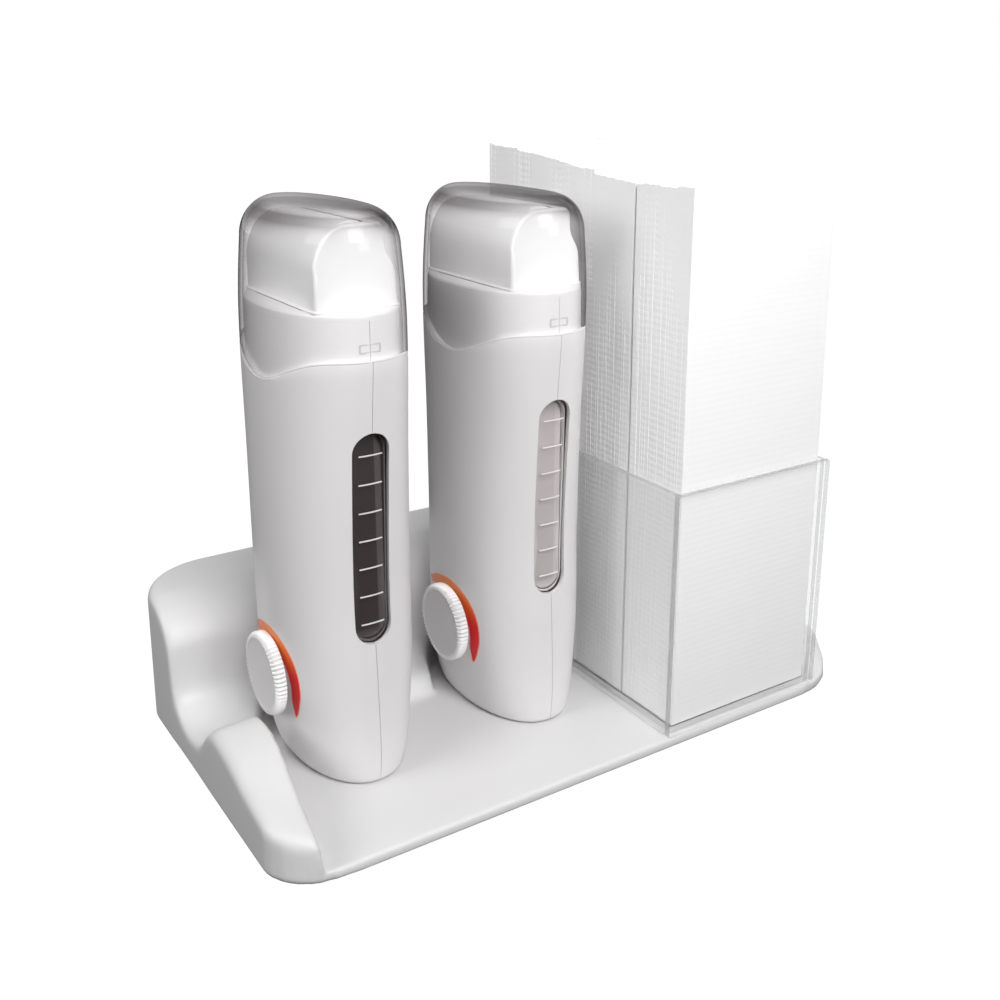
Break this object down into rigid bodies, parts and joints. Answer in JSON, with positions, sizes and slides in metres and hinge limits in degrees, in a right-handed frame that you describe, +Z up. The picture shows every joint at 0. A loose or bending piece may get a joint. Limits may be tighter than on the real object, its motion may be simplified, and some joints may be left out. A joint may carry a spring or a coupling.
{
  "type": "roll on wax heater",
  "caption": "Moulded base that docks twin hand held roll on wax heaters with dials, windows and clear caps, beside an open clear box of waxing strips.",
  "frame": {"origin": "on the ground under the middle of the base's bounding box", "axes": "+X along the base towards the strip box, +Y towards the raised back of the base, +Z up"},
  "size_m": [0.267, 0.155, 0.2271],
  "materials": {
    "base_white": "satin white moulding",
    "heater_white": "soft gloss white moulding",
    "dial_grey": "satin",
    "smoke_clear": "clear smoky plastic",
    "acrylic_clear": "clear acrylic",
    "strip_white": "creped non woven",
    "dark_plastic": "matt",
    "rubber": "matt",
    "steel": "plain",
    "brass": "plain",
    "aluminium": "mill",
    "board_green": "solder mask",
    "bottle_clear": "clear plastic",
    "wax_dark": "wax",
    "wax_pale": "wax"
  },
  "bodies": {
    "base": {"base_shell": "base_white", "base_bottom_plate": "base_white", "foot_front_left": "rubber", "foot_front_right": "rubber", "foot_rear_left": "rubber", "foot_rear_right": "rubber", "base_screw_front_left": "steel", "base_screw_front_right": "steel", "base_screw_rear_left": "steel", "base_screw_rear_right": "steel", "dock_1_connector": "dark_plastic", "dock_2_connector": "dark_plastic", "power_inlet": "dark_plastic", "inlet_pin_left": "brass", "inlet_pin_right": "brass", "terminal_board": "board_green"},
    "heater_1": {"heater_1_shell_left": "heater_white", "heater_1_shell_right": "heater_white", "heater_1_window_lens": "smoke_clear", "heater_1_collar": "heater_white", "heater_1_bottom_plate": "heater_white", "heater_1_contact_socket": "dark_plastic", "heater_1_screw_front": "steel", "heater_1_screw_rear": "steel", "heater_1_cartridge_well": "aluminium", "heater_1_heating_plate": "aluminium", "heater_1_thermostat": "dark_plastic"},
    "dial_1": {"heater_1_dial": "dial_grey"},
    "cartridge_1": {"cartridge_1_bottle": "bottle_clear", "cartridge_1_wax": "wax_dark", "cartridge_1_head": "heater_white"},
    "roller_1": {"cartridge_1_roller": "heater_white"},
    "cap_1": {"heater_1_cap": "smoke_clear"},
    "heater_2": {"heater_2_shell_left": "heater_white", "heater_2_shell_right": "heater_white", "heater_2_window_lens": "smoke_clear", "heater_2_collar": "heater_white", "heater_2_bottom_plate": "heater_white", "heater_2_contact_socket": "dark_plastic", "heater_2_screw_front": "steel", "heater_2_screw_rear": "steel", "heater_2_cartridge_well": "aluminium", "heater_2_heating_plate": "aluminium", "heater_2_thermostat": "dark_plastic"},
    "dial_2": {"heater_2_dial": "dial_grey"},
    "cartridge_2": {"cartridge_2_bottle": "bottle_clear", "cartridge_2_wax": "wax_pale", "cartridge_2_head": "heater_white"},
    "roller_2": {"cartridge_2_roller": "heater_white"},
    "cap_2": {"heater_2_cap": "smoke_clear"},
    "strip_box": {"strip_box_front": "acrylic_clear", "strip_box_back": "acrylic_clear", "strip_box_left": "acrylic_clear", "strip_box_right": "acrylic_clear", "strip_box_floor": "acrylic_clear"},
    "front_bundle": {"strips_front": "strip_white"},
    "rear_bundle": {"strips_rear": "strip_white"}
  },
  "joints": [
    {"name": "heater_1_lift", "type": "slide", "parent": "base", "child": "heater_1", "axis": [0, 0, 1], "range_m": [0, 0.02]},
    {"name": "dial_1_turn", "type": "hinge", "parent": "heater_1", "child": "dial_1", "pos_m": [-0.0795, -0.008, 0.043], "axis": [1, 0, 0], "range_deg": [0, 130]},
    {"name": "cartridge_1_lift", "type": "slide", "parent": "heater_1", "child": "cartridge_1", "axis": [0, 0, 1], "range_m": [0, 0.03]},
    {"name": "roller_1_spin", "type": "hinge", "parent": "cartridge_1", "child": "roller_1", "pos_m": [-0.0795, -0.006, 0.1989], "axis": [0, 1, 0], "continuous": true},
    {"name": "cap_1_lift", "type": "slide", "parent": "cartridge_1", "child": "cap_1", "axis": [0, 0, 1], "range_m": [0, 0.056]},
    {"name": "heater_2_lift", "type": "slide", "parent": "base", "child": "heater_2", "axis": [0, 0, 1], "range_m": [0, 0.02]},
    {"name": "dial_2_turn", "type": "hinge", "parent": "heater_2", "child": "dial_2", "pos_m": [-0.0035, -0.008, 0.043], "axis": [1, 0, 0], "range_deg": [0, 130]},
    {"name": "cartridge_2_lift", "type": "slide", "parent": "heater_2", "child": "cartridge_2", "axis": [0, 0, 1], "range_m": [0, 0.03]},
    {"name": "roller_2_spin", "type": "hinge", "parent": "cartridge_2", "child": "roller_2", "pos_m": [-0.0035, -0.006, 0.1989], "axis": [0, 1, 0], "continuous": true},
    {"name": "cap_2_lift", "type": "slide", "parent": "cartridge_2", "child": "cap_2", "axis": [0, 0, 1], "range_m": [0, 0.056]},
    {"name": "strip_box_lift", "type": "slide", "parent": "base", "child": "strip_box", "axis": [0, 0, 1], "range_m": [0, 0.02]},
    {"name": "strips_front_lift", "type": "slide", "parent": "strip_box", "child": "front_bundle", "axis": [0, 0, 1], "range_m": [0, 0.035]},
    {"name": "strips_rear_lift", "type": "slide", "parent": "strip_box", "child": "rear_bundle", "axis": [0, 0, 1], "range_m": [0, 0.035]}
  ]
}
